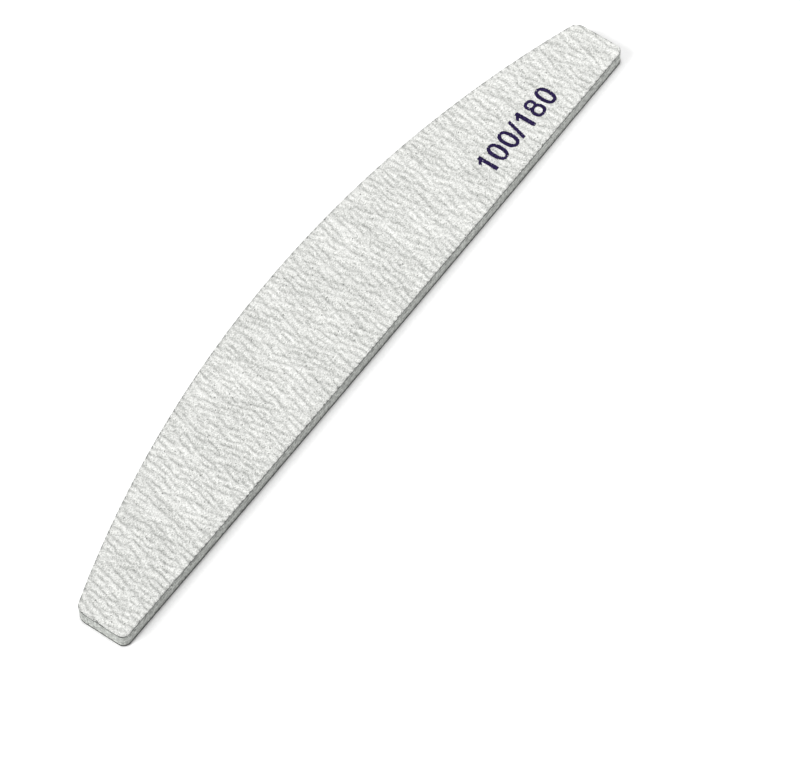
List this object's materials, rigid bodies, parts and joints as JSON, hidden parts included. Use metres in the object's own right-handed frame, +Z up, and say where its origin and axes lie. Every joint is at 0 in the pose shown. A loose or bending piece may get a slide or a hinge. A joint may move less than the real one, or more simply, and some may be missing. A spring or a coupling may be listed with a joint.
{
  "type": "emery board",
  "caption": "Half-moon emery board: a flat cushioned nail file with a straight edge, an arched back, a fine upper face and a coarse lower face.",
  "frame": {"origin": "under the middle of the board's box, on the surface that the coarse face rests on", "axes": "+X along the board, +Y from the straight edge to the arched back, +Z up out of the fine face"},
  "size_m": [0.178, 0.0282, 0.0043],
  "materials": {
    "fine_grit": "fine grit under a pale matte top coat, crinkled across the width",
    "coarse_grit": "coarse grit under a pale matte top coat, deeply crinkled across the width",
    "backing_paper": "cut edge of dense dark grey latex paper, darkest under the coarse grit",
    "tape": "thin translucent adhesive film, dull at the cut",
    "foam": "grey closed-cell foam, matte",
    "core_plastic": "grey plastic strip, dull at the cut",
    "printing_ink": "thin dark purple printing ink, broken by the grit"
  },
  "bodies": {
    "root": {"coarse_grit_coat": "coarse_grit", "lower_backing_paper": "backing_paper", "lower_paper_tape": "tape", "lower_foam_layer": "foam", "lower_core_tape": "tape", "stiffener_core": "core_plastic", "upper_core_tape": "tape", "upper_foam_layer": "foam", "upper_paper_tape": "tape", "upper_backing_paper": "backing_paper", "fine_grit_coat": "fine_grit"}
  },
  "joints": []
}
